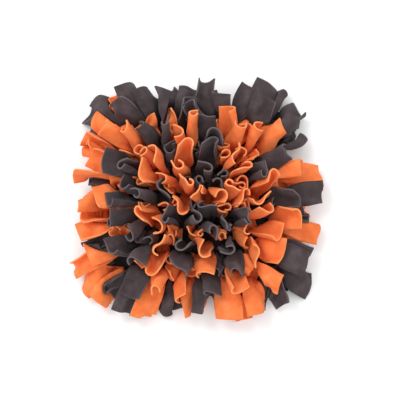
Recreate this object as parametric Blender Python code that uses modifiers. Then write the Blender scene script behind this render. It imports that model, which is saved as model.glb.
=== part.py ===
"""Square snuffle mat: a flat felt base with fleece strips knotted through it.

Metres, +Z up. The mat lies on z = 0, its middle on the origin and its front edge towards -Y.
Each strip is one folded sheet: a U-turn on the base and two tails that stand, lean out or
droop over the edge.
"""

import math

import bmesh
import bpy
import numpy as np

# Base
BASE_SIZE = 0.250
BASE_THICK = 0.0045
BASE_CORNER = 0.030
CORNER_STEPS = 6
SEAT_GAP = 0.0003

# Strip, as cut
STRIP_WIDTH = 0.038
CLOTH_THICK = 0.0022
TAIL_LENGTH = 0.062
TAIL_UNEVEN = 0.007
TURN_RADIUS = 0.0075
TURN_DROP = 0.00812  # from the knot down to the underside of the turn
KNOT_HEIGHT = BASE_THICK + SEAT_GAP + TURN_DROP
LOWEST_TAIL = BASE_THICK + 0.003

# Knots, in a grid on the base
COLUMN_PITCH = 0.030
ROW_PITCH = 0.034
KNOT_UNEVEN = 0.0015

# Colour of each strip, back row first and left to right: c charcoal, o orange
COLOUR_ROWS = (
    "cccccccc",
    "oococooc",
    "ocoococo",
    "occooooc",
    "ococccoo",
    "ococococ",
    "ocoocooc",
)

# Lean of the pile: upright in the middle, past level at the rim
RIM_REACH = 0.115
RIM_LEAN = math.radians(80)
CORNER_REACH = 1.12
LEAN_POWER = 1.9
LEAN_AT_KNOT = 0.28
LEAN_GAIN = 1.15
SPREAD_APART = math.radians(8)
LEAN_UNEVEN = math.radians(10)

# Gathers at the knot, opening out up the tail
PLEAT_ANGLE = math.radians(52)
KNOT_SQUEEZE = 0.58
OPEN_BY = 0.8
FULL_WIDTH_BY = 0.65

# Folds at the tips: (in the middle, at the rim), in degrees
TURN_RANGE = (90, 46)
CURL_RANGE = (88, 44)
WAVE_RANGE = (60, 32)
PLEAT_RANGE = (20, 10)

# Mesh of a strip, and the search for room
ACROSS = 4
TAIL_ROWS = 3
SAMPLES = 3
NEAR = 0.072
NUDGE_LEAN = math.radians(3)
NUDGE_FOLD = math.radians(10)
CLEARANCE = 0.0046
TRIES = 90
PASSES = 7
SEED = 47


def lean_at(point):
    """Lean of the pile at a point on the base: an angle in radians with a direction."""
    flat = point / RIM_REACH
    reach = (abs(flat) ** 3).sum() ** (1 / 3)
    way = flat * abs(flat)
    return way / max(np.linalg.norm(way), 1e-9) * RIM_LEAN * min(reach, CORNER_REACH) ** LEAN_POWER


def ease(share):
    """Smooth step from 0 to 1."""
    share = min(max(share, 0.0), 1.0)
    return share * share * (3 - 2 * share)


def section(pleat, curl, wave, width):
    """Middle line of the cloth across its width: even gathers, one curl and one wave."""
    across = (np.arange(ACROSS) + 0.5) / ACROSS
    heading = pleat * np.sin(4 * math.pi * across)
    heading += curl * np.cos(math.pi * across) + wave * np.cos(2 * math.pi * across)
    line = np.zeros((ACROSS + 1, 2))
    line[1:, 0] = np.cumsum(np.cos(heading)) * width / ACROSS
    line[1:, 1] = np.cumsum(np.sin(heading)) * width / ACROSS
    return line - line.mean(axis=0)


def unit(angle):
    """Direction on the base at an angle from +X."""
    return np.array((math.cos(angle), math.sin(angle)))


def tail_row(tail, share):
    """Points across a tail at a share of its length above the knot."""
    lean = max(np.linalg.norm(tail["lean"]), 1e-4)
    way = tail["lean"] / lean
    start = LEAN_AT_KNOT * lean
    rate = lean * LEAN_GAIN / tail["length"]
    angle = start + rate * share * tail["length"]
    out = (math.cos(start) - math.cos(angle)) / rate
    rise = (math.sin(angle) - math.sin(start)) / rate

    opened = ease(share / OPEN_BY)
    line = section(
        PLEAT_ANGLE * (1 - opened) + tail["pleat"] * opened,
        tail["curl"] * opened,
        tail["wave"] * opened,
        STRIP_WIDTH * (KNOT_SQUEEZE + (1 - KNOT_SQUEEZE) * ease(share / FULL_WIDTH_BY)),
    )
    chord = tail["chord"] + tail["twist"] * ease(share)
    flat = np.outer(line[:, 0], unit(chord)) - tail["side"] * np.outer(line[:, 1], unit(chord + math.pi / 2))
    ahead = flat @ way
    row = np.empty((ACROSS + 1, 3))
    row[:, :2] = tail["foot"] + way * out + flat + np.outer(ahead * (math.cos(angle) - 1), way)
    row[:, 2] = KNOT_HEIGHT + rise - ahead * math.sin(angle)
    return row


def turn_row(strip, angle):
    """Points across the U-turn under the two tails, at an angle round it."""
    line = section(PLEAT_ANGLE, 0, 0, STRIP_WIDTH * KNOT_SQUEEZE)
    reach = TURN_RADIUS + line[:, 1]
    row = np.empty((ACROSS + 1, 3))
    row[:, :2] = strip["knot"] + np.outer(line[:, 0], unit(strip["facing"] + math.pi / 2))
    row[:, :2] += np.outer(-math.cos(angle) * reach, unit(strip["facing"]))
    row[:, 2] = KNOT_HEIGHT - math.sin(angle) * reach
    return row


def strip_rows(strip):
    """Every row of the strip, from one tip down, round the turn and up to the other tip."""
    first, second = strip["tails"]
    shares = [(i + 1) / TAIL_ROWS for i in range(TAIL_ROWS)]
    rows = [tail_row(first, share) for share in reversed(shares)]
    rows += [turn_row(strip, math.pi / 4), turn_row(strip, 3 * math.pi / 4)]
    rows += [tail_row(second, share) for share in shares]
    return np.array(rows)


def draw_strip(rng, knot):
    """A strip with folds drawn at random, looser in the middle and flatter at the rim."""
    lean = lean_at(knot)
    rim = min(np.linalg.norm(lean) / RIM_LEAN, 1.0)

    def within(limits):
        limit = math.radians(limits[0] + (limits[1] - limits[0]) * rim)
        return rng.uniform(-limit, limit)

    facing = rng.uniform(0, 2 * math.pi)
    strip = {"knot": knot, "facing": facing, "tails": []}
    tangent = math.atan2(lean[1], lean[0]) + math.pi / 2
    for side in (-1, 1):
        foot = knot + side * TURN_RADIUS * unit(facing)
        tail_lean = lean_at(foot) + side * SPREAD_APART * unit(facing)
        tail_lean = tail_lean + rng.uniform(-LEAN_UNEVEN, LEAN_UNEVEN, 2)
        chord = facing + math.pi / 2
        twist = (tangent + within(TURN_RANGE) - chord + math.pi / 2) % math.pi - math.pi / 2
        strip["tails"].append(
            {
                "foot": foot,
                "lean": tail_lean,
                "length": TAIL_LENGTH + rng.uniform(-TAIL_UNEVEN, TAIL_UNEVEN),
                "chord": chord,
                "twist": twist,
                "side": side,
                "curl": within(CURL_RANGE),
                "wave": within(WAVE_RANGE),
                "pleat": within(PLEAT_RANGE),
            }
        )
    return strip


def spread(rows, axis):
    """Points between each pair of neighbours along one axis of the grid."""
    places = np.linspace(0, rows.shape[axis] - 1, SAMPLES * (rows.shape[axis] - 1) + 1)
    low = np.minimum(places.astype(int), rows.shape[axis] - 2)
    share = np.expand_dims(places - low, (1, 2) if axis == 0 else (0, 2))
    return rows.take(low, axis) * (1 - share) + rows.take(low + 1, axis) * share


def nearest(points, others):
    """Shortest distance between two clouds of points."""
    if len(others) == 0:
        return 1.0
    squares = (others**2).sum(1) - 2 * points @ others.T
    return math.sqrt(max((squares.min(1) + (points**2).sum(1)).min(), 0.0))


def fill(rows):
    """Points all over the strip's faces."""
    return spread(spread(rows, 0), 1).reshape(-1, 3)


def room_round(strip, near, enough):
    """Least distance from a strip to its neighbours and between its own tails.

    It is 0 where a tail hangs too low or is sure to come nearer than enough.
    """
    rows = strip_rows(strip)
    strip["room"] = 0.0
    strip["cloud"] = fill(rows)
    low = strip["cloud"].min(axis=0) - CLEARANCE
    high = strip["cloud"].max(axis=0) + CLEARANCE
    near = near[((near > low) & (near < high)).all(axis=1)]
    if min(rows[:TAIL_ROWS, :, 2].min(), rows[-TAIL_ROWS:, :, 2].min()) < LOWEST_TAIL:
        return 0.0
    if nearest(rows.reshape(-1, 3), near) < enough:
        return 0.0
    first_to_rest = nearest(fill(rows[: TAIL_ROWS - 1]), fill(rows[TAIL_ROWS:]))
    second_to_rest = nearest(fill(rows[-TAIL_ROWS + 1 :]), fill(rows[:-TAIL_ROWS]))
    strip["room"] = min(first_to_rest, second_to_rest, nearest(strip["cloud"], near))
    return strip["room"]


def nudge(rng, strip):
    """The same strip with each tail leant, turned and folded a little differently."""
    fresh = {**strip, "tails": [dict(tail) for tail in strip["tails"]]}
    for tail in fresh["tails"]:
        tail["lean"] = tail["lean"] + rng.normal(0, NUDGE_LEAN, 2)
        tail["twist"] += rng.normal(0, NUDGE_FOLD)
        for fold, limits in (("curl", CURL_RANGE), ("wave", WAVE_RANGE)):
            limit = math.radians(limits[0])
            tail[fold] = min(max(tail[fold] + rng.normal(0, NUDGE_FOLD), -limit), limit)
    return fresh


def redraw(rng, strip, strips):
    """Draw or nudge a strip's folds until it has room, keeping the roomiest try."""
    near = [other["cloud"] for other in strips if 0 < np.linalg.norm(other["knot"] - strip["knot"]) < NEAR]
    near = np.concatenate(near)
    room_round(strip, near, 0.0)
    for attempt in range(TRIES):
        if strip["room"] > CLEARANCE:
            break
        fresh = nudge(rng, strip) if attempt % 3 else draw_strip(rng, strip["knot"])
        if room_round(fresh, near, strip["room"]) > strip["room"]:
            strip.update(fresh)


def place_strips():
    """One strip a knot, its folds redrawn over a few passes until all have room."""
    rng = np.random.default_rng(SEED)
    strips = []
    for row, colours in enumerate(reversed(COLOUR_ROWS)):
        for column, colour in enumerate(colours):
            x = (column - (len(colours) - 1) / 2) * COLUMN_PITCH
            y = (row - (len(COLOUR_ROWS) - 1) / 2) * ROW_PITCH
            strip = draw_strip(rng, np.array((x, y)) + rng.uniform(-KNOT_UNEVEN, KNOT_UNEVEN, 2))
            strip.update(name=f"strip_r{row + 1}_c{column + 1}", colour=colour)
            strip["cloud"] = strip_rows(strip).reshape(-1, 3)
            strips.append(strip)
    for _ in range(PASSES):
        for strip in strips:
            redraw(rng, strip, strips)
    return strips


def make_material(name, colour, roughness):
    material = bpy.data.materials.new(name)
    material.use_nodes = True
    shader = material.node_tree.nodes["Principled BSDF"]
    shader.inputs["Base Color"].default_value = (*colour, 1.0)
    shader.inputs["Roughness"].default_value = roughness
    shader.inputs["Metallic"].default_value = 0.0
    material.diffuse_color = (*colour, 1.0)
    return material


def add_object(name, mesh, material, collection):
    piece = bpy.data.objects.new(name, mesh)
    mesh.materials.append(material)
    collection.objects.link(piece)
    return piece


def make_base(material, collection):
    """Flat square of felt with round corners."""
    form = bmesh.new()
    half = BASE_SIZE / 2 - BASE_CORNER
    outline = []
    for quarter, (sx, sy) in enumerate(((1, 1), (-1, 1), (-1, -1), (1, -1))):
        for step in range(CORNER_STEPS + 1):
            angle = (quarter + step / CORNER_STEPS) * math.pi / 2
            x = sx * half + BASE_CORNER * math.cos(angle)
            y = sy * half + BASE_CORNER * math.sin(angle)
            outline.append(form.verts.new((x, y, 0)))
    form.faces.new(outline)
    lifted = bmesh.ops.extrude_face_region(form, geom=form.faces[:])
    tops = [item for item in lifted["geom"] if isinstance(item, bmesh.types.BMVert)]
    bmesh.ops.translate(form, verts=tops, vec=(0, 0, BASE_THICK))
    bmesh.ops.recalc_face_normals(form, faces=form.faces)
    mesh = bpy.data.meshes.new("base_mat")
    form.to_mesh(mesh)
    form.free()
    return add_object("base_mat", mesh, material, collection)


def make_strip(strip, material, collection):
    """A grid laid over the strip's rows, thickened, and set down on the base."""
    rows = strip_rows(strip)
    form = bmesh.new()
    bmesh.ops.create_grid(form, x_segments=ACROSS, y_segments=len(rows) - 1, size=1)
    for vert in form.verts:
        column = round((vert.co.x + 1) / 2 * ACROSS)
        row = round((vert.co.y + 1) / 2 * (len(rows) - 1))
        vert.co = rows[row, column]
    mesh = bpy.data.meshes.new(strip["name"])
    form.to_mesh(mesh)
    form.free()
    piece = add_object(strip["name"], mesh, material, collection)
    cloth = piece.modifiers.new("cloth", "SOLIDIFY")
    cloth.thickness = CLOTH_THICK
    cloth.offset = 0
    return piece


def main():
    for old in list(bpy.data.objects):
        bpy.data.objects.remove(old, do_unlink=True)
    collection = bpy.data.collections.new("snuffle_mat")
    bpy.context.scene.collection.children.link(collection)

    felt = make_material("base_felt", (0.035, 0.031, 0.033), 0.95)
    fleeces = {
        "c": make_material("charcoal_fleece", (0.052, 0.036, 0.037), 0.95),
        "o": make_material("orange_fleece", (0.86, 0.20, 0.045), 0.92),
    }
    make_base(felt, collection)
    for strip in place_strips():
        make_strip(strip, fleeces[strip["colour"]], collection)


main()
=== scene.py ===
import math
import time

import bmesh
import bpy
import numpy as np
from mathutils.bvhtree import BVHTree
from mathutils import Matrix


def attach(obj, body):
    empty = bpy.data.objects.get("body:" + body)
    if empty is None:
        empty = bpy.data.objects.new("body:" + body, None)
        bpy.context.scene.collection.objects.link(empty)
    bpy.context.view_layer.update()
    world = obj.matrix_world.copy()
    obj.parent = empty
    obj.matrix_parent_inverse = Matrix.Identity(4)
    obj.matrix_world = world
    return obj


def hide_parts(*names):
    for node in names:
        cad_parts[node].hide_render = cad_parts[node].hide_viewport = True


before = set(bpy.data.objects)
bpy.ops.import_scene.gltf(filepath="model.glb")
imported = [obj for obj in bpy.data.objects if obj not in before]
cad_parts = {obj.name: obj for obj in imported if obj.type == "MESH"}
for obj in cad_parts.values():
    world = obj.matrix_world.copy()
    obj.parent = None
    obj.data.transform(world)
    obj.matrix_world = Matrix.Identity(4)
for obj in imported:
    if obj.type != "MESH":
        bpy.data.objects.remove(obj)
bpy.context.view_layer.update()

startTime = time.time()


def report(stage):
    print(f"[{time.time() - startTime:5.1f} s] {stage}")


# where the strips are knotted and how each is folded: the same as the solid parts, in metres and degrees
layout = {
    "columns": 8,
    "rows": 7,
    "columnPitch": 0.030,
    "rowPitch": 0.034,
    "knotUneven": 0.0015,
    "knotHeight": 0.01292,
    "lowestTail": 0.0075,  # no tail is drawn nearer to the floor
    "width": 0.038,
    "leanShare": 1.0,
    "tailLength": 0.062,
    "tailUneven": 0.007,
    "turnRadius": 0.0075,  # of the turn under the knot
    "rimReach": 0.115,  # from the middle to where the tails lean fully
    "rimLean": 80,
    "roundness": 3,  # 2 would lean the tails out in a circle, more in a square
    "cornerReach": 1.12,
    "leanPower": 1.9,  # how long the tails stay upright on the way to the rim
    "leanAtKnot": 0.28,  # share of its lean that a tail starts with
    "leanGain": 1.15,
    "spreadApart": 8,  # between the two tails of a strip
    "leanUneven": 10,
    "pleatAngle": 52,  # of the gathers at the knot
    "knotSqueeze": 0.58,  # share of the width left at the knot
    "openBy": 0.8,  # share of the tail by which the gathers have opened out
    "fullWidthBy": 0.65,
    # largest angles in the middle of the mat and at its rim
    "foldRange": {"turn": (90, 46), "curl": (88, 44), "wave": (60, 32), "pleat": (20, 10)},
    "near": 0.072,  # knots nearer than this are neighbours
    "nudgeLean": 3,
    "nudgeFold": 10,
    "clearance": 0.0046,  # between the middle sheets of two strips
    "tries": 90,
    "passes": 7,
    "seed": 47,
}

# c charcoal, o orange; back row first, left to right
stripColours = (
    "cccccccc",
    "oococooc",
    "ocoococo",
    "occooooc",
    "ococccoo",
    "ococococ",
    "ocoocooc",
)


def leanAt(point):
    # which way and how far, in radians, a tail at this point leans
    flat = point / layout["rimReach"]
    reach = (abs(flat) ** layout["roundness"]).sum() ** (1 / layout["roundness"])
    way = flat * abs(flat)
    lean = math.radians(layout["rimLean"]) * min(reach, layout["cornerReach"]) ** layout["leanPower"]
    return way / max(np.linalg.norm(way), 1e-9) * lean


def ease(share):
    share = min(max(share, 0.0), 1.0)
    return share * share * (3 - 2 * share)


def section(pleat, curl, wave, width, across):
    # middle line of the cloth across its width
    w = (np.arange(across) + 0.5) / across
    heading = pleat * np.sin(4 * math.pi * w)
    heading += curl * np.cos(math.pi * w) + wave * np.cos(2 * math.pi * w)
    line = np.zeros((across + 1, 2))
    line[1:, 0] = np.cumsum(np.cos(heading)) * width / across
    line[1:, 1] = np.cumsum(np.sin(heading)) * width / across
    return line - line.mean(axis=0)


def unit(angle):
    return np.array((math.cos(angle), math.sin(angle)))


def tailRow(tail, share, across):
    # one row of points across a tail, which bends over along an arc and opens out from its gathers
    lean = max(np.linalg.norm(tail["lean"]), 1e-4)
    way = tail["lean"] / lean
    start = layout["leanAtKnot"] * lean
    rate = lean * layout["leanGain"] / tail["length"]
    angle = start + rate * share * tail["length"]
    out = (math.cos(start) - math.cos(angle)) / rate
    rise = (math.sin(angle) - math.sin(start)) / rate
    opened = ease(share / layout["openBy"])
    squeeze = tail["squeeze"]
    line = section(
        math.radians(layout["pleatAngle"]) * (1 - opened) + tail["pleat"] * opened,
        tail["curl"] * opened,
        tail["wave"] * opened,
        tail["width"] * (squeeze + (1 - squeeze) * ease(share / layout["fullWidthBy"])),
        across,
    )
    chord = tail["chord"] + tail["twist"] * ease(share)
    flat = np.outer(line[:, 0], unit(chord))
    flat -= tail["side"] * np.outer(line[:, 1], unit(chord + math.pi / 2))
    ahead = flat @ way
    row = np.empty((across + 1, 3))
    row[:, :2] = tail["foot"] + way * out + flat + np.outer(ahead * (math.cos(angle) - 1), way)
    row[:, 2] = tail["knotHeight"] + rise - ahead * math.sin(angle)
    return row


def turnRow(strip, angle, across):
    # one row of points across the round turn under the knot
    line = section(math.radians(layout["pleatAngle"]), 0, 0, strip["width"] * strip["knotSqueeze"], across)
    reach = strip["turnRadius"] + line[:, 1]
    row = np.empty((across + 1, 3))
    row[:, :2] = strip["knot"] + np.outer(line[:, 0], unit(strip["facing"] + math.pi / 2))
    row[:, :2] += np.outer(-math.cos(angle) * reach, unit(strip["facing"]))
    row[:, 2] = strip["knotHeight"] - math.sin(angle) * reach
    return row


def stripRows(strip, across, tailSteps, turnAngles):
    # from one tip down, round the turn under the knot and up to the other tip
    first, second = strip["tails"]
    shares = [(i + 1) / tailSteps for i in range(tailSteps)]
    rows = [tailRow(first, share, across) for share in reversed(shares)]
    rows += [turnRow(strip, angle, across) for angle in turnAngles]
    rows += [tailRow(second, share, across) for share in shares]
    return np.array(rows)


def drawStrip(rng, knot, cut):
    # a strip with folds drawn at random, less folded at the rim
    lean = leanAt(knot)
    rim = min(np.linalg.norm(lean) / math.radians(layout["rimLean"]), 1.0)

    def within(name):
        middle, edge = layout["foldRange"][name]
        limit = math.radians(middle + (edge - middle) * rim)
        return rng.uniform(-limit, limit)

    facing = rng.uniform(0, 2 * math.pi)
    strip = {"knot": knot, "facing": facing, "tails": []}
    strip.update({key: cut[key] for key in ("width", "turnRadius", "knotHeight", "knotSqueeze")})
    tangent = math.atan2(lean[1], lean[0]) + math.pi / 2
    uneven = math.radians(layout["leanUneven"])
    for side in (-1, 1):
        foot = knot + side * cut["turnRadius"] * unit(facing)
        tailLean = leanAt(foot) + side * math.radians(layout["spreadApart"]) * unit(facing)
        tailLean = (tailLean + rng.uniform(-uneven, uneven, 2)) * cut["leanShare"]
        chord = facing + math.pi / 2
        twist = (tangent + within("turn") - chord + math.pi / 2) % math.pi - math.pi / 2
        strip["tails"].append(
            {
                "foot": foot,
                "lean": tailLean,
                "width": cut["width"],
                "knotHeight": cut["knotHeight"],
                "squeeze": cut["knotSqueeze"],
                "length": cut["tailLength"] + rng.uniform(-layout["tailUneven"], layout["tailUneven"]),
                "chord": chord,
                "twist": twist,
                "side": side,
                "curl": within("curl"),
                "wave": within("wave"),
                "pleat": within("pleat"),
            }
        )
    return strip


def spread(rows, axis, samples=3):
    # puts more points between the points along one axis
    places = np.linspace(0, rows.shape[axis] - 1, samples * (rows.shape[axis] - 1) + 1)
    low = np.minimum(places.astype(int), rows.shape[axis] - 2)
    share = np.expand_dims(places - low, (1, 2) if axis == 0 else (0, 2))
    return rows.take(low, axis) * (1 - share) + rows.take(low + 1, axis) * share


def fill(rows):
    return spread(spread(rows, 0), 1).reshape(-1, 3)


def nearest(points, others):
    # the smallest distance between two clouds of points
    if len(others) == 0:
        return 1.0
    squares = (others**2).sum(1) - 2 * points @ others.T
    return math.sqrt(max((squares.min(1) + (points**2).sum(1)).min(), 0.0))


def coarseRows(strip):
    return stripRows(strip, 4, 3, (math.pi / 4, 3 * math.pi / 4))


def roomRound(strip, near, enough):
    # how clear a strip is of its neighbours and of itself, or 0 where that is less than enough
    rows = coarseRows(strip)
    strip["room"] = 0.0
    strip["cloud"] = fill(rows)
    low = strip["cloud"].min(axis=0) - layout["clearance"]
    high = strip["cloud"].max(axis=0) + layout["clearance"]
    near = near[((near > low) & (near < high)).all(axis=1)]
    if min(rows[:3, :, 2].min(), rows[-3:, :, 2].min()) < layout["lowestTail"]:
        return 0.0
    if nearest(rows.reshape(-1, 3), near) < enough:
        return 0.0
    firstToRest = nearest(fill(rows[:2]), fill(rows[3:]))
    secondToRest = nearest(fill(rows[-2:]), fill(rows[:-3]))
    strip["room"] = min(firstToRest, secondToRest, nearest(strip["cloud"], near))
    return strip["room"]


def nudge(rng, strip):
    fresh = {**strip, "tails": [dict(tail) for tail in strip["tails"]]}
    for tail in fresh["tails"]:
        tail["lean"] = tail["lean"] + rng.normal(0, math.radians(layout["nudgeLean"]), 2)
        tail["twist"] += rng.normal(0, math.radians(layout["nudgeFold"]))
        for fold in ("curl", "wave"):
            limit = math.radians(layout["foldRange"][fold][0])
            moved = tail[fold] + rng.normal(0, math.radians(layout["nudgeFold"]))
            tail[fold] = min(max(moved, -limit), limit)
    return fresh


def redraw(rng, strip, strips):
    # tries other folds for a strip until it is clear of its neighbours
    near = []
    for other in strips:
        if 0 < np.linalg.norm(other["knot"] - strip["knot"]) < layout["near"]:
            near.append(other["cloud"])
    near = np.concatenate(near)
    roomRound(strip, near, 0.0)
    for attempt in range(layout["tries"]):
        if strip["room"] > layout["clearance"]:
            break
        fresh = nudge(rng, strip) if attempt % 3 else drawStrip(rng, strip["knot"], layout)
        if roomRound(fresh, near, strip["room"]) > strip["room"]:
            strip.update(fresh)


def placeStrips():
    rng = np.random.default_rng(layout["seed"])
    strips = []
    uneven = layout["knotUneven"]
    for row, colours in enumerate(reversed(stripColours)):
        for column, colour in enumerate(colours):
            x = (column - (layout["columns"] - 1) / 2) * layout["columnPitch"]
            y = (row - (layout["rows"] - 1) / 2) * layout["rowPitch"]
            strip = drawStrip(rng, np.array((x, y)) + rng.uniform(-uneven, uneven, 2), layout)
            strip.update(name=f"strip_r{row + 1}_c{column + 1}", colour=colour)
            strip["cloud"] = coarseRows(strip).reshape(-1, 3)
            strips.append(strip)
    for _ in range(layout["passes"]):
        for strip in strips:
            redraw(rng, strip, strips)
    return strips


base = {
    "size": 0.250,
    "thick": 0.0045,
    "corner": 0.030,
    "edgeRound": 0.0011,
    "dark": "#2B2829",
    "light": "#3C3839",
    "fibreScale": 1100,  # felt fibres are finer; drawn at about a millimetre so that they show
    "cloudScale": 45,
    "fibreHeight": 0.00015,
}

# the mesh of a strip: faces across it, along each tail and round the turn
fineCloth = {
    "across": 10,
    "tailSteps": 15,
    "turnSteps": 6,
    "thick": 0.0022,
    "gap": 0.0004,  # left between the turn and the base
    "edgeCrease": 0.55,
}


def fineRows(strip):
    steps = fineCloth["turnSteps"]
    turnAngles = [math.pi * i / steps for i in range(steps + 1)]
    rows = stripRows(strip, fineCloth["across"], fineCloth["tailSteps"], turnAngles)
    # the round turn is pressed flat on the base
    start = fineCloth["tailSteps"]
    turn = rows[start : start + steps + 1, :, 2]
    lowest = base["thick"] + fineCloth["thick"] / 2 + fineCloth["gap"]
    squash = (strip["knotHeight"] - lowest) / (strip["knotHeight"] - turn.min())
    turn[:] = strip["knotHeight"] - (strip["knotHeight"] - turn) * min(squash, 1.0)
    return rows


# narrower strips tied in between the rows; they start small in the gaps and grow while the pile settles
between = {
    # back row first, a space for none
    "colours": (
        " ccccccc ",
        "cooocoooc",
        "oooccooco",
        "coooccooo",
        "oooocooco",
        "oocooooco",
        "coooocooc",
        " oocococ ",
    ),
    # one more strip between every two knots of the outermost rows and columns
    "ring": {"back": "oocoooo", "front": "cocooco", "left": "ccocoo", "right": "cococo"},
    "ringTail": 0.056,
    "ringLean": 0.2,  # they stand up while they grow and are laid out over the rim afterwards
    "edge": 0.117,  # no knot is further out, so that it stays on the base
    "width": 0.032,
    "tailLength": 0.061,
    "longer": 0.010,  # added towards the rim
    "edgeTail": 0.055,  # tails of the outermost strips, and of those along the back
    "backTail": 0.060,
    "turnRadius": 0.0045,
    "knotHeight": 0.0112,
    "knotSqueeze": 0.52,
    "startSize": 0.3,
    "growsFrom": 0.0015,  # point above the base that a strip grows from
    "knotSize": 0.7,  # the knot stays pulled tight
    "least": 0.5,  # a strip that found less room than this is left out
    "shift": 0.003,
    "look": 0.005,  # how far round a strip its neighbours are looked for
    "clearance": 0.0034,
    "enough": 0.0018,  # closer than this and the strip is left out
    "tries": 30,
    "seed": 12,
}


def shrunk(rows, strip, size):
    middle = np.array((*strip["knot"], base["thick"] + between["growsFrom"]))
    return middle + (rows - middle) * size


def midCloud(strip, size=1.0):
    # points all over the middle sheet of a strip
    rows = stripRows(strip, 6, 9, [math.pi * i / 4 for i in range(5)])
    return spread(spread(shrunk(rows, strip, size), 0, 2), 1, 2).reshape(-1, 3)


def spotsBetween():
    # knot, colour, tail length and share of lean: first between every four knots, then the ring
    spots = []
    rows = len(between["colours"])
    for row, colours in enumerate(reversed(between["colours"])):
        for column, colour in enumerate(colours):
            x = (column - (len(colours) - 1) / 2) * layout["columnPitch"]
            y = (row - (rows - 1) / 2) * layout["rowPitch"]
            knot = np.clip((x, y), -between["edge"], between["edge"])
            length = between["tailLength"] + between["longer"] * np.linalg.norm(knot) / between["edge"]
            if max(abs(x), abs(y)) > between["edge"]:
                length = between["backTail" if y > between["edge"] else "edgeTail"]
            if colour != " ":
                spots.append((knot, colour, length, 1.0))
    for side, colours in between["ring"].items():
        for i, colour in enumerate(colours):
            along = i - (len(colours) - 1) / 2
            if side in ("back", "front"):
                y = (layout["rows"] - 1) / 2 * layout["rowPitch"] * (1 if side == "back" else -1)
                knot = np.array((along * layout["columnPitch"], y))
            else:
                x = (layout["columns"] - 1) / 2 * layout["columnPitch"] * (1 if side == "right" else -1)
                knot = np.array((x, along * layout["rowPitch"]))
            spots.append((knot, colour, between["ringTail"], between["ringLean"]))
    return spots


def placeBetween(strips):
    rng = np.random.default_rng(between["seed"])
    everyone = [(strip["knot"], midCloud(strip)) for strip in strips]
    added = []
    for knot, colour, length, leanShare in spotsBetween():
        cut = {**between, "tailLength": length, "leanShare": leanShare}
        near = np.concatenate([c for k, c in everyone if np.linalg.norm(k - knot) < layout["near"]])
        best, bestRoom, bestCloud = None, 0.0, None
        for _ in range(between["tries"]):
            fresh = drawStrip(rng, knot + rng.uniform(-between["shift"], between["shift"], 2), cut)
            cloud = midCloud(fresh, between["startSize"])
            low, high = cloud.min(axis=0) - between["look"], cloud.max(axis=0) + between["look"]
            room = nearest(cloud, near[((near > low) & (near < high)).all(axis=1)])
            if room > bestRoom:
                best, bestRoom, bestCloud = fresh, room, cloud
            if bestRoom > between["clearance"]:
                break
        if bestRoom > between["enough"]:
            best.update(name=f"between_{len(added) + 1}", colour=colour, laid=leanShare < 1)
            added.append(best)
            everyone.append((best["knot"], bestCloud))
    return added


# settling of the whole pile: every strip bends, droops a little and is pushed clear of the rest
settle = {
    "steps": 290,
    "growFor": 200,
    "shrinkUntil": 265,  # from growFor on only the strips that pass through another still shrink
    "shrinkRate": 2,  # how much faster a strip shrinks than it grows
    "linked": 4,  # crossing faces that no longer make a strip shrink then
    "crossEvery": 15,  # steps between looks for strips that pass through another
    "weight": 0.00003,  # droop in each step, metres
    "lift": 0.00005,  # the middle of the pile props itself up
    "liftBetween": 0.00004,
    "layFrom": 130,
    "layOut": 0.00025,  # the ring strips are laid outwards and down
    "layDown": 0.00012,
    "wander": 0.00003,  # at the rim each tail drifts its own way
    "stretch": 0.9,
    "shear": 0.35,
    "bend": 0.28,
    "bendReach": (2, 5, 9),  # faces across the strip that each set of bends spans
    "alongRange": (0.94, 1.05),  # keeps the faces along a tail of even length
    "flatten": 0.12,  # how far the folds open towards flat cloth
    "apart": 0.0034,  # between points of neighbouring cloth
    "watch": 1.45,  # points nearer than this many times apart are watched
    "sameFold": 0.0042,  # points of one strip that start closer are left alone
    "push": 0.7,
    "listEvery": 6,
    "pinned": 0.10,  # share of each tail held by the knot
    "heldTurn": 1.6,  # rows of the turn that hold a growing strip
    "evenOut": 0.03,
    "rollFor": 120,
    "rollMiddle": 2.0,  # how much tighter the folds get in the middle of the mat
    "rollRim": 1.0,
    "floorGap": 0.0005,
    "baseMargin": 0.002,
    "tangled": 22,  # crossing faces past which a strip between is left out
    "leastArea": 0.72,  # and the share of its flat area under which it is
    "reportEvery": 40,
    "seed": 5,
}


def closePairs(points, reach):
    # every two points nearer than reach, found by sorting them into cubes
    cell = np.floor(points / reach).astype(np.int64)
    cell -= cell.min(axis=0) - 1
    size = cell.max(axis=0) + 2
    key = (cell[:, 0] * size[1] + cell[:, 1]) * size[2] + cell[:, 2]
    order = np.argsort(key, kind="stable")
    inOrder = key[order]
    firsts, seconds = [], []
    for dx in (0, 1):
        for dy in (-1, 0, 1) if dx else (0, 1):
            for dz in (-1, 0, 1) if dx or dy else (0, 1):
                shift = (dx * size[1] + dy) * size[2] + dz
                start = np.searchsorted(inOrder, key + shift, "left")
                count = np.searchsorted(inOrder, key + shift, "right") - start
                a = np.repeat(np.arange(len(points)), count)
                step = np.arange(len(a)) - np.repeat(np.cumsum(count) - count, count)
                b = order[np.repeat(start, count) + step]
                good = ((points[a] - points[b]) ** 2).sum(axis=1) < reach**2
                if shift == 0:
                    good &= a < b
                firsts.append(a[good])
                seconds.append(b[good])
    return np.concatenate(firsts), np.concatenate(seconds)


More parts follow.
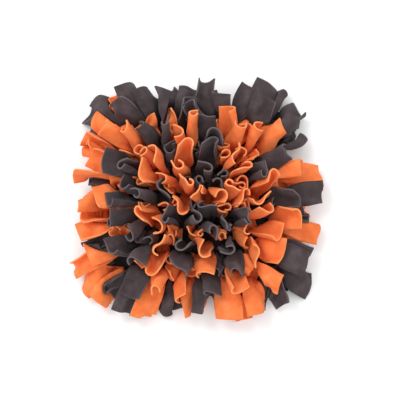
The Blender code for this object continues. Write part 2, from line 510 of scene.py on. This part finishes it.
def pull(cloth, axis, step, rest, free, strength):
    # moves each two points that are step apart along the cloth towards their rest distance
    length = cloth.shape[axis]
    for phase in (0, 1):
        low = np.arange(length - step)
        low = low[(low // step) % 2 == phase]
        if len(low) == 0:
            continue
        a, b = cloth.take(low, axis), cloth.take(low + step, axis)
        fa, fb = free.take(low, axis), free.take(low + step, axis)
        gap = b - a
        distance = np.sqrt((gap**2).sum(axis=3, keepdims=True)) + 1e-12
        total = np.maximum(fa + fb, 1e-9)
        change = gap * (strength * (distance - rest.take(low, axis)) / distance / total)
        where = [slice(None)] * 4
        where[axis] = low
        cloth[tuple(where)] += change * fa
        where[axis] = low + step
        cloth[tuple(where)] -= change * fb


def pullDiagonal(cloth, rest, free, strength):
    # the same for the two diagonals of each face
    for up in (0, 1):
        for rowPhase in (0, 1):
            rows = np.arange(rowPhase, cloth.shape[1] - 1, 2)
            for columnPhase in (0, 1):
                columns = np.arange(columnPhase, cloth.shape[2] - 1, 2)
                one = np.ix_(range(len(cloth)), rows, columns + up)
                two = np.ix_(range(len(cloth)), rows + 1, columns + 1 - up)
                gap = cloth[two] - cloth[one]
                distance = np.sqrt((gap**2).sum(axis=3, keepdims=True)) + 1e-12
                total = np.maximum(free[one] + free[two], 1e-9)
                wanted = rest[np.ix_(range(len(cloth)), rows, columns)]
                change = gap * (strength * (distance - wanted) / distance / total)
                cloth[one] += change * free[one]
                cloth[two] -= change * free[two]


def spacing(cloth, axis, step):
    low = np.arange(cloth.shape[axis] - step)
    gap = cloth.take(low + step, axis) - cloth.take(low, axis)
    return np.sqrt((gap**2).sum(axis=3, keepdims=True))


def evenOut(cloth, axis, free, strength):
    # takes out crumples finer than the folds
    line, loose = np.moveaxis(cloth, axis, 0), np.moveaxis(free, axis, 0)
    bend = line[:-2] + line[2:] - 2 * line[1:-1]
    change = np.zeros_like(line)
    change[1:-1] -= 2 * bend
    change[:-2] += bend
    change[2:] += bend
    line -= strength * change * loose


def rolledRows(strip):
    # the strip with its folds drawn tighter, most in the middle of the mat
    tails = [dict(tail) for tail in strip["tails"]]
    for tail in tails:
        rim = min(np.linalg.norm(tail["lean"]) / math.radians(layout["rimLean"]), 1.0)
        gain = settle["rollMiddle"] + (settle["rollRim"] - settle["rollMiddle"]) * rim
        limit = math.radians(layout["foldRange"]["curl"][0])
        tail["curl"] = math.copysign(limit * math.sqrt(abs(tail["curl"]) / limit), tail["curl"]) * gain
        tail["pleat"] *= rim
    return fineRows({**strip, "tails": tails})


def clothArea(rows):
    # half the area of the faces' diagonals crossed
    one, two = rows[1:, 1:] - rows[:-1, :-1], rows[1:, :-1] - rows[:-1, 1:]
    return np.linalg.norm(np.cross(one, two), axis=2).sum() / 2


def crossing(cloth, chosen):
    # how many faces of other strips each of the chosen strips passes through
    corner = np.arange(cloth.shape[1] * cloth.shape[2]).reshape(cloth.shape[1:3])
    faces = np.stack((corner[:-1, :-1], corner[:-1, 1:], corner[1:, 1:], corner[1:, :-1]), axis=2)
    faces = faces.reshape(-1, 4).tolist()
    trees = [BVHTree.FromPolygons(points.reshape(-1, 3).tolist(), faces) for points in cloth]
    low, high = cloth.min(axis=(1, 2)), cloth.max(axis=(1, 2))
    found = []
    for i in chosen:
        close = np.flatnonzero(((low[i] < high) & (low < high[i])).all(axis=1))
        found.append(sum(len(trees[i].overlap(trees[j])) for j in close if j != i))
    return np.array(found)


def restLengths(strips, cloth):
    # the lengths that the cloth pulls back to; across it there is a set as drawn and a set rolled tighter
    steps, turn = fineCloth["tailSteps"], fineCloth["turnSteps"]
    along, across = spacing(cloth, 1, 1), spacing(cloth, 2, 1)
    least, most = settle["alongRange"]
    for i, strip in enumerate(strips):
        for tail, part in zip(strip["tails"], (slice(0, steps), slice(steps + turn, None))):
            even = tail["length"] / steps
            along[i, part] = np.clip(along[i, part], even * least, even * most)

    def opened(folded, flat):
        return np.minimum(folded, flat) * (1 - settle["flatten"]) + flat * settle["flatten"]

    folds = []
    for shape in (cloth, np.array([rolledRows(strip) for strip in strips])):
        single = spacing(shape, 2, 1)
        for reach in settle["bendReach"]:
            flat = sum(single[:, :, i : single.shape[2] - reach + 1 + i] for i in range(reach))
            folds.append(opened(spacing(shape, 2, reach), flat))
    side = (across[:, :-1] + across[:, 1:]) / 2
    half = len(folds) // 2
    return {
        "along": along,
        "across": across,
        "alongTwo": opened(spacing(cloth, 1, 2), along[:, :-1] + along[:, 1:]),
        "folds": list(zip(settle["bendReach"], folds[:half], folds[half:])),
        "diagonal": np.sqrt(along[:, :, :-1] ** 2 + side**2),
    }


def pullTogether(cloth, rest, size, free, step):
    # each strip bends back towards its own folds and keeps its length and width
    roll = min(step / settle["rollFor"], 1.0)
    pull(cloth, 1, 2, rest["alongTwo"] * size, free, settle["bend"])
    for reach, drawn, rolled in rest["folds"]:
        pull(cloth, 2, reach, (drawn + (rolled - drawn) * roll) * size, free, settle["bend"])
    if step % 2:
        evenOut(cloth, 1, free, settle["evenOut"])
        evenOut(cloth, 2, free, settle["evenOut"])
    pullDiagonal(cloth, rest["diagonal"] * size, free, settle["shear"])
    pull(cloth, 2, 1, rest["across"] * size, free, settle["stretch"])
    pull(cloth, 1, 1, rest["along"] * size, free, settle["stretch"])


def drifts(strips, shares, free, growing):
    # what every step adds: droop or lift with a drift for each tail, and the laying out of the ring
    rows = len(shares)
    reach = np.array([min(abs(strip["knot"]).max() / layout["rimReach"], 1.0) for strip in strips])
    drop = settle["weight"] - (settle["lift"] + settle["weight"]) * (1 - reach**2)
    drop -= growing * settle["liftBetween"] * (1 - reach**6)
    drift = np.random.default_rng(settle["seed"]).normal(0, settle["wander"], (len(strips), 2, 3))
    drift *= reach[:, None, None] ** 2
    drift = np.where((np.arange(rows) < rows / 2)[None, :, None], drift[:, :1], drift[:, 1:])
    drift[..., 2] -= drop[:, None]
    lay = np.zeros((len(strips), 1, 1, 3))
    for i, strip in enumerate(strips):
        if strip.get("laid"):
            lay[i, 0, 0, :2] = strip["knot"] / np.linalg.norm(strip["knot"]) * settle["layOut"]
            lay[i, 0, 0, 2] = -settle["layDown"]
    shares = shares[None, :, None, None]
    return drift[:, :, None] * shares * free, lay * shares * free


def touching(cloth, start, size):
    # the points to keep apart, and how far: of two strips, or of one strip where it folds back on itself
    rows, columns = cloth.shape[1:3]
    flat = cloth.reshape(-1, 3)
    a, b = closePairs(flat, settle["apart"] * settle["watch"])
    stripA, stripB = a // (rows * columns), b // (rows * columns)
    rowsApart = abs(a // columns % rows - b // columns % rows)
    columnsApart = abs(a % columns - b % columns)
    same = stripA == stripB
    sameFold = ((start[a] - start[b]) ** 2).sum(axis=1) < settle["sameFold"] ** 2
    wanted = settle["apart"] * np.where(same, size[stripA, 0, 0, 0], 1.0)
    skip = same & ((np.maximum(rowsApart, columnsApart) <= 2) | sameFold)
    skip |= ((flat[a] - flat[b]) ** 2).sum(axis=1) > (wanted * settle["watch"]) ** 2
    return a[~skip], b[~skip], wanted[~skip]


def pushApart(cloth, free, a, b, wanted):
    # moves points that are too close away from each other, and says how many there were and by how much
    flat, loose = cloth.reshape(-1, 3), free.reshape(-1)
    gap = flat[b] - flat[a]
    distance = np.sqrt((gap**2).sum(axis=1)) + 1e-9
    near = distance < wanted
    fa, fb = loose[a[near]], loose[b[near]]
    push = gap[near] * ((wanted[near] - distance[near]) / distance[near] * settle["push"])[:, None]
    total = np.maximum(fa + fb, 1e-9)
    one, two = push * (fa / total)[:, None], push * (fb / total)[:, None]
    for k in range(3):
        flat[:, k] -= np.bincount(a[near], one[:, k], len(flat))
        flat[:, k] += np.bincount(b[near], two[:, k], len(flat))
    return near.sum(), (wanted - distance).max()


def keepAbove(cloth, free):
    # nothing sinks into the floor or the base
    flat = cloth.reshape(-1, 3)
    overBase = abs(flat[:, :2]).max(axis=1) < base["size"] / 2 + settle["baseMargin"]
    lowest = fineCloth["thick"] / 2 + settle["floorGap"] + overBase * base["thick"]
    flat[:, 2] = np.where(free.reshape(-1) > 0, np.maximum(flat[:, 2], lowest), flat[:, 2])


def settlePile(strips):
    cloth = np.array([strip["rows"] for strip in strips])
    rest = restLengths(strips, cloth)
    count, rows, columns = cloth.shape[:3]
    fromMiddle = abs(np.arange(rows) - (rows - 1) / 2)
    shares = np.clip((fromMiddle - fineCloth["turnSteps"] / 2) / fineCloth["tailSteps"], 0, 1)
    growing = np.array([strip["turnRadius"] < layout["turnRadius"] for strip in strips])
    free = np.ones((count, rows, columns, 1))
    free[:, shares < settle["pinned"]] = 0.0
    free[growing] = np.where(fromMiddle < settle["heldTurn"], 0.0, 1.0)[:, None, None]
    drift, lay = drifts(strips, shares, free, growing)

    start = cloth.reshape(-1, 3).copy()
    small = np.flatnonzero(growing)
    full = cloth[small].copy()
    held = free[small] == 0
    size = np.ones((count, 1, 1, 1))
    size[small] = between["startSize"]
    for k, i in enumerate(small):
        cloth[i] = shrunk(full[k], strips[i], between["startSize"])
    grows = (1 - between["startSize"]) / settle["growFor"]
    for step in range(settle["steps"]):
        if 0 < step < settle["shrinkUntil"]:
            stillGrows = step < settle["growFor"]
            size[small] += grows * stillGrows
            if step % settle["crossEvery"] == 0:
                stuck = small[crossing(cloth, small) > (0 if stillGrows else settle["linked"])]
                size[stuck] -= grows * settle["crossEvery"] * settle["shrinkRate"]
            size = np.clip(size, between["startSize"], 1.0)
            for k, i in enumerate(small):
                tight = shrunk(full[k], strips[i], min(size[i, 0, 0, 0], between["knotSize"]))
                cloth[i] = np.where(held[k], tight, cloth[i])
        cloth += drift + lay if step > settle["layFrom"] else drift
        pullTogether(cloth, rest, size, free, step)
        if step % settle["listEvery"] == 0:
            a, b, wanted = touching(cloth, start, size)
        contacts, deepest = pushApart(cloth, free, a, b, wanted)
        keepAbove(cloth, free)
        if step % settle["reportEvery"] == 0 or step == settle["steps"] - 1:
            report(f"settling {step}: {contacts} contacts, deepest {1000 * deepest:.2f} mm")

    # a strip between that found no room or is drawn together too far is left out
    stuck = small[crossing(cloth, small) > settle["tangled"]]
    kept = []
    for i, (strip, moved) in enumerate(zip(strips, cloth)):
        strip["rows"], strip["size"] = moved, size[i, 0, 0, 0]
        if i in small:
            drawn = strip["width"] * strip["cutLength"] * strip["size"] ** 2
            tooTight = clothArea(moved) < settle["leastArea"] * drawn
            if i in stuck or tooTight or strip["size"] < between["least"]:
                continue
        kept.append(strip)
    sizes = np.percentile(size[small], (0, 25, 50, 100)).round(2)
    report(f"{len(kept)} of {count} strips kept, sizes {sizes}")
    return kept


def clothMesh(name, strip):
    # one grid of faces laid on the rows, with its UV map in metres of cloth
    rows = strip["rows"]
    across, along = rows.shape[1] - 1, rows.shape[0] - 1
    form = bmesh.new()
    bmesh.ops.create_grid(form, x_segments=across, y_segments=along, size=1)
    uv = form.loops.layers.uv.new("cloth")
    for face in form.faces:
        for loop in face.loops:
            loop[uv].uv = (
                (loop.vert.co.x + 1) / 2 * strip["width"],
                (loop.vert.co.y + 1) / 2 * strip["cutLength"],
            )
    for vert in form.verts:
        column = round((vert.co.x + 1) / 2 * across)
        row = round((vert.co.y + 1) / 2 * along)
        vert.co = rows[row, column]
    mesh = bpy.data.meshes.new(name)
    form.to_mesh(mesh)
    form.free()
    return mesh


def applyAll(piece):
    bpy.ops.object.select_all(action="DESELECT")
    bpy.context.view_layer.objects.active = piece
    piece.select_set(True)
    for modifier in list(piece.modifiers):
        bpy.ops.object.modifier_apply(modifier=modifier.name)
    piece.select_set(False)


def makeStrip(strip, materials):
    name = strip["name"] + "_cloth"
    piece = bpy.data.objects.new(name, clothMesh(name, strip))
    bpy.context.scene.collection.objects.link(piece)
    for material in materials:
        piece.data.materials.append(material)
    cloth = piece.modifiers.new("cloth", "SOLIDIFY")
    cloth.thickness = fineCloth["thick"]
    cloth.offset = 0
    cloth.material_offset_rim = 1  # the cut edge has its own material, paler and partly a painted highlight
    cloth.edge_crease_rim = fineCloth["edgeCrease"]
    cloth.edge_crease_outer = fineCloth["edgeCrease"]
    cloth.edge_crease_inner = fineCloth["edgeCrease"]
    smooth = piece.modifiers.new("smooth", "SUBSURF")
    smooth.levels = smooth.render_levels = 1
    applyAll(piece)
    piece.data.polygons.foreach_set("use_smooth", [True] * len(piece.data.polygons))
    return piece


def linear(hexColour):
    # from an sRGB hex colour to the shader's own values
    channels = [int(hexColour[i : i + 2], 16) / 255 for i in (1, 3, 5)]
    return [c / 12.92 if c <= 0.04045 else ((c + 0.055) / 1.055) ** 2.4 for c in channels] + [1.0]


def addNode(tree, kind, settings=None, links=None):
    # settings name a property or an input; links name an input and the output that feeds it
    node = tree.nodes.new(kind)
    for key, value in (settings or {}).items():
        if isinstance(key, str) and hasattr(node, key):
            setattr(node, key, value)
        else:
            node.inputs[key].default_value = value
    for key, output in (links or {}).items():
        tree.links.new(output, node.inputs[key])
    return node


def newMaterial(name, roughness, specular):
    material = bpy.data.materials.new(name)
    material.use_nodes = True
    tree = material.node_tree
    shader = tree.nodes["Principled BSDF"]
    shader.inputs["Roughness"].default_value = roughness
    shader.inputs["Specular IOR Level"].default_value = specular
    return material, tree, shader


def clothMaterial(name):
    # cloth is matte: its fibres scatter the light and give it next to no gloss
    return newMaterial(name, 0.95, 0.2)


def noise(tree, **settings):
    # noise on the object's own coordinates; its scale is patches a metre
    place = addNode(tree, "ShaderNodeTexCoord")
    settings = {name.capitalize(): value for name, value in settings.items()}
    return addNode(tree, "ShaderNodeTexNoise", settings, {"Vector": place.outputs["Object"]}).outputs["Fac"]


def plusShare(tree, first, share, second):
    # share of the first value plus the second
    node = addNode(tree, "ShaderNodeMath", {"operation": "MULTIPLY_ADD", 1: share}, {0: first, 2: second})
    return node.outputs[0]


def colourBy(tree, shader, value, stops):
    # stops: where along the value each colour stands
    ramp = addNode(tree, "ShaderNodeValToRGB", None, {"Fac": value})
    elements = ramp.color_ramp.elements
    for i in (0, -1):
        elements[i].position, colour = stops[i]
        elements[i].color = linear(colour)
    for position, colour in stops[1:-1]:
        elements.new(position).color = linear(colour)
    tree.links.new(ramp.outputs["Color"], shader.inputs["Base Color"])


def bumpBy(tree, shader, value, height):
    # height in metres
    bump = addNode(tree, "ShaderNodeBump", {"Strength": 1.0, "Distance": height}, {"Height": value})
    tree.links.new(bump.outputs["Normal"], shader.inputs["Normal"])


fleece = {
    "orange": {
        "deep": "#DE6B38",
        "base": "#ED7A40",
        "tip": "#F48A54",
        "sheen": 0.12,
        "sheenTint": "#FFC8A0",
    },
    "charcoal": {
        "deep": "#3C3334",
        "base": "#443B3D",
        "tip": "#534A4C",
        "sheen": 0.20,
        "sheenTint": "#B8A8AC",
    },
    "napScale": 900,  # nap tufts about 1.1 mm apart
    "patchScale": 60,  # brushed and lain-on patches of 15 to 20 mm
    "fibreScale": 4200,  # fibres are 0.02 mm; drawn at about a quarter of a millimetre
    "napHeight": 0.00012,
}


def fleeceMaterial(colour):
    # anti-pill polyester fleece, knitted, brushed and sheared: dull and soft, with a short matted nap
    looks = fleece[colour]
    material, tree, shader = clothMaterial(f"{colour} polyester fleece, brushed")
    nap = noise(tree, scale=fleece["napScale"], detail=3.0, roughness=0.6)
    patches = noise(tree, scale=fleece["patchScale"], detail=2.0, roughness=0.5)
    fibres = noise(tree, scale=fleece["fibreScale"], detail=1.0)
    shade = plusShare(tree, nap, 0.45, patches)
    colourBy(tree, shader, shade, ((0.5, looks["deep"]), (0.72, looks["base"]), (0.95, looks["tip"])))
    bumpBy(tree, shader, plusShare(tree, fibres, 0.35, nap), fleece["napHeight"])
    # the nap catches light at a flat angle, most on the dark cloth
    shader.inputs["Sheen Weight"].default_value = looks["sheen"]
    shader.inputs["Sheen Roughness"].default_value = 0.5
    shader.inputs["Sheen Tint"].default_value = linear(looks["sheenTint"])
    return material


# colours of the cut edges: the knit's own paler tone together with a painted highlight
cutEdgeAndHighlight = {"orange": "#F09A62", "charcoal": "#6A5F61", "knitScale": 1500, "knitHeight": 0.0001}


def cutEdgeAndHighlightMaterial(colour):
    # the cut edge shows the knit between the two naps: paler, partly because its loose ends scatter more
    # light and partly as a painted highlight where the edge catches the light
    material, tree, shader = clothMaterial(f"{colour} fleece, cut edge with painted highlight")
    knit = noise(tree, scale=cutEdgeAndHighlight["knitScale"], detail=2.0)
    colourBy(tree, shader, knit, ((0.3, fleece[colour]["tip"]), (0.62, cutEdgeAndHighlight[colour])))
    bumpBy(tree, shader, knit, cutEdgeAndHighlight["knitHeight"])
    return material


def feltMaterial():
    # pressed polyester felt: dull, with matted fibres lying every way
    material, tree, shader = clothMaterial("charcoal polyester felt, pressed")
    matted = noise(tree, scale=base["fibreScale"], detail=4.0, roughness=0.7, distortion=1.2)
    clouds = noise(tree, scale=base["cloudScale"], detail=3.0)
    shade = plusShare(tree, matted, 0.6, clouds)
    colourBy(tree, shader, shade, ((0.55, base["dark"]), (1.0, base["light"])))
    bumpBy(tree, shader, matted, base["fibreHeight"])
    return material


def makeBase(material):
    # one square of felt, its four corners rounded and then its cut edges a little softened
    bpy.ops.object.select_all(action="DESELECT")
    bpy.ops.mesh.primitive_cube_add(size=1, location=(0, 0, base["thick"] / 2))
    piece = bpy.context.object
    piece.name = piece.data.name = "base_mat_felt"
    piece.scale = (base["size"], base["size"], base["thick"])
    bpy.ops.object.transform_apply(location=True, rotation=True, scale=True)
    bpy.ops.object.mode_set(mode="EDIT")
    form = bmesh.from_edit_mesh(piece.data)
    for edge in form.edges:
        up = abs(edge.verts[0].co.z - edge.verts[1].co.z)
        edge.select = up > base["thick"] / 2
    form.select_flush_mode()
    bmesh.update_edit_mesh(piece.data)
    bpy.ops.mesh.select_mode(type="EDGE")
    bpy.ops.mesh.bevel(offset=base["corner"], segments=16, affect="EDGES")
    form = bmesh.from_edit_mesh(piece.data)
    for edge in form.edges:
        flat = [abs(face.normal.z) > 0.9 for face in edge.link_faces]
        edge.select = len(flat) == 2 and flat[0] != flat[1]
    bmesh.update_edit_mesh(piece.data)
    bpy.ops.mesh.bevel(offset=base["edgeRound"], segments=3, affect="EDGES")
    bpy.ops.object.mode_set(mode="OBJECT")
    bpy.ops.object.shade_smooth_by_angle(angle=math.radians(40))
    piece.data.materials.append(material)
    return piece


strips = placeStrips()
report("strips laid out")
added = placeBetween(strips)
report(f"{len(added)} strips placed between")
pile = strips + added
for strip in pile:
    strip["rows"] = fineRows(strip)
    strip["size"] = 1.0
    strip["cutLength"] = sum(tail["length"] for tail in strip["tails"]) + math.pi * strip["turnRadius"]
pile = settlePile(pile)
report("pile settled")

materials = {
    "c": (fleeceMaterial("charcoal"), cutEdgeAndHighlightMaterial("charcoal")),
    "o": (fleeceMaterial("orange"), cutEdgeAndHighlightMaterial("orange")),
}

felt = makeBase(feltMaterial())
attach(felt, "root")
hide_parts("base_mat")
report("base made")

for strip in pile:
    piece = makeStrip(strip, materials[strip["colour"]])
    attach(piece, "root")
    if strip["name"].startswith("strip"):
        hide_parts(strip["name"])
report("strips made")

studio = {
    "floorSize": 6,
    "floorTone": "#F8F8F8",
    "skyLight": 1.2,
    "keyPower": 9.8,
    "keySize": 0.7,
    "keyPlace": (-0.85, 0.75, 1.6),
}


def makeStudio():
    bpy.ops.object.select_all(action="DESELECT")
    bpy.ops.mesh.primitive_plane_add(size=studio["floorSize"], location=(0, 0, 0))
    floor = bpy.context.object
    floor.name = "floor"
    material, _, shader = newMaterial("white paper, matte", 1.0, 0.0)
    shader.inputs["Base Color"].default_value = linear(studio["floorTone"])
    floor.data.materials.append(material)

    world = bpy.data.worlds.new("studio")
    world.use_nodes = True
    sky = world.node_tree.nodes["Background"]
    sky.inputs["Color"].default_value = (1, 1, 1, 1)
    sky.inputs["Strength"].default_value = studio["skyLight"]
    bpy.context.scene.world = world

    lamp = bpy.data.lights.new("key", "AREA")
    lamp.shape = "DISK"
    lamp.size = studio["keySize"]
    lamp.energy = studio["keyPower"]
    key = bpy.data.objects.new("key", lamp)
    key.location = studio["keyPlace"]
    key.rotation_euler = (-key.location).to_track_quat("-Z", "Y").to_euler()
    bpy.context.scene.collection.objects.link(key)


view = {"lens": 85, "elevation": 79.5, "distance": 1.27, "aim": (0.006, -0.005, 0.03)}


def makeCamera():
    lens = bpy.data.cameras.new("camera")
    lens.lens = view["lens"]
    camera = bpy.data.objects.new("camera", lens)
    tilt = math.radians(view["elevation"])
    aim = np.array(view["aim"])
    camera.location = aim + view["distance"] * np.array((0, -math.cos(tilt), math.sin(tilt)))
    camera.rotation_euler = (math.pi / 2 - tilt, 0, 0)
    bpy.context.scene.collection.objects.link(camera)
    bpy.context.scene.camera = camera


makeStudio()
makeCamera()
bpy.context.scene.view_settings.view_transform = "Standard"
report("studio and camera ready")
